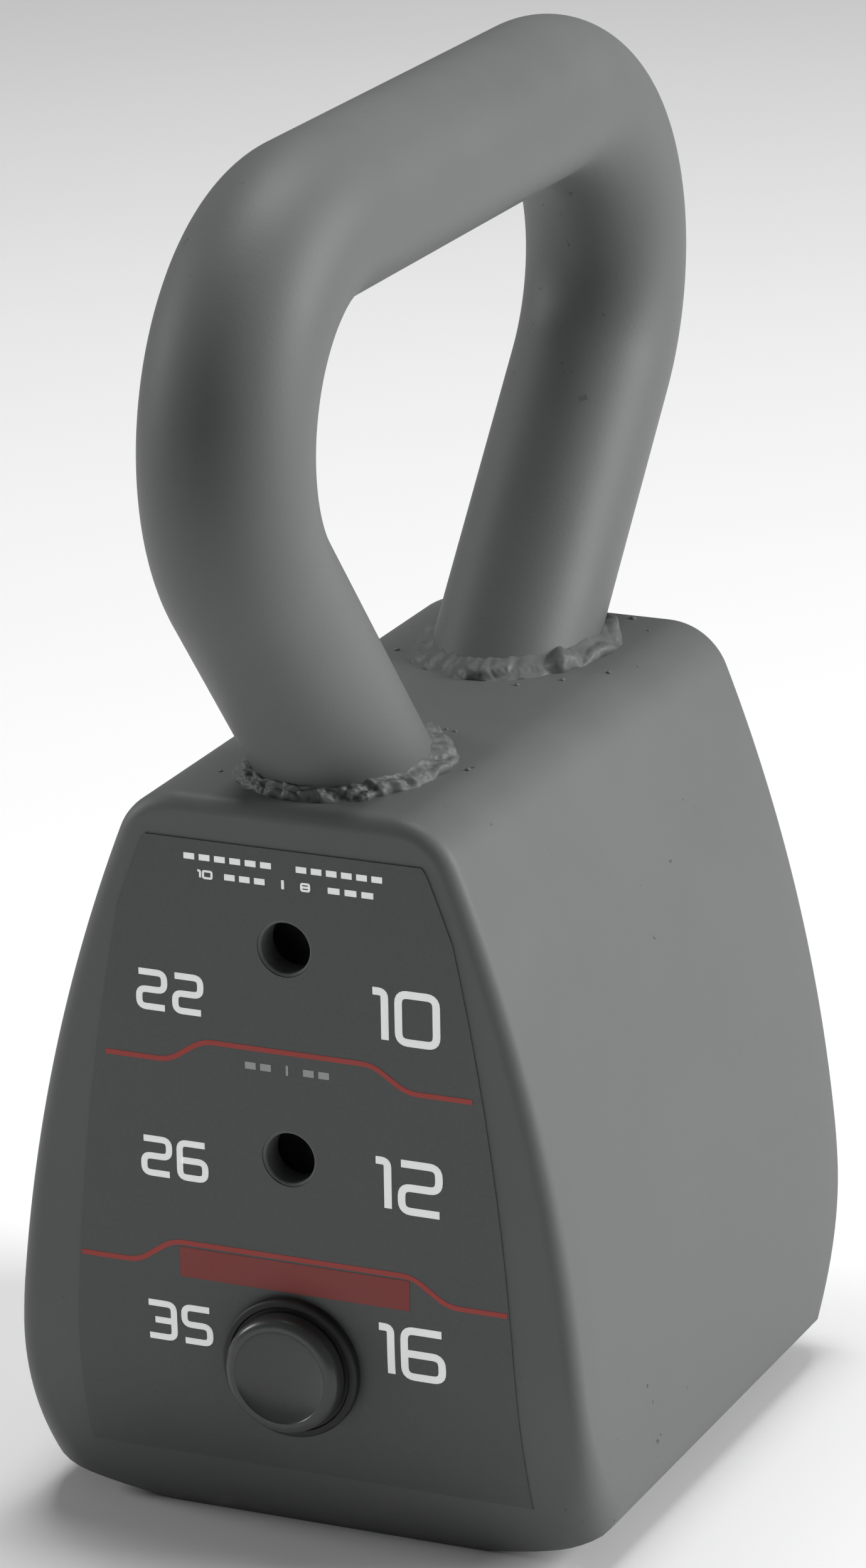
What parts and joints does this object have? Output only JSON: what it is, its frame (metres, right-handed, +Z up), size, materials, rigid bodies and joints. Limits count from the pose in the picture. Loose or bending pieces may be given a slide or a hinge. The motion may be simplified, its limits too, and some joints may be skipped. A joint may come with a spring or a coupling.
{
  "type": "adjustable kettlebell",
  "caption": "Adjustable kettlebell with a hollow steel body, a bent-bar handle, stacked inner weights and a round-knob selector pin in the lowest front hole.",
  "frame": {"origin": "middle of the underside of the body, at floor level", "axes": "+Z up, numbered front face towards -Y, handle in the YZ plane, +X to the right seen from the front"},
  "size_m": [0.13, 0.229, 0.297],
  "materials": {
    "coat": "matte powder coat",
    "label_film": "matte film",
    "bare_steel": "plain rolled",
    "weight_steel": "black oxide",
    "pin_steel": "satin",
    "magnet": "plated",
    "knob_plastic": "satin moulded",
    "rubber": "matte"
  },
  "bodies": {
    "kettlebell": {"side_wrap": "coat", "front_plate": "coat", "rear_plate": "coat", "handle": "coat", "front_handle_weld": "coat", "rear_handle_weld": "coat", "front_label": "label_film", "front_guide": "bare_steel", "rear_guide": "bare_steel", "top_bumper": "rubber", "top_weight": "weight_steel", "top_weight_pad": "rubber", "middle_weight": "weight_steel", "middle_weight_pad": "rubber", "bottom_weight": "weight_steel", "base_pad": "rubber"},
    "selector_pin": {"pin_shaft": "pin_steel", "knob_skirt": "knob_plastic", "pin_magnet": "magnet", "pin_knob": "knob_plastic"}
  },
  "joints": [
    {"name": "pin_slide", "type": "slide", "parent": "kettlebell", "child": "selector_pin", "axis": [0, -1, 0], "range_m": [0, 0.145]}
  ]
}
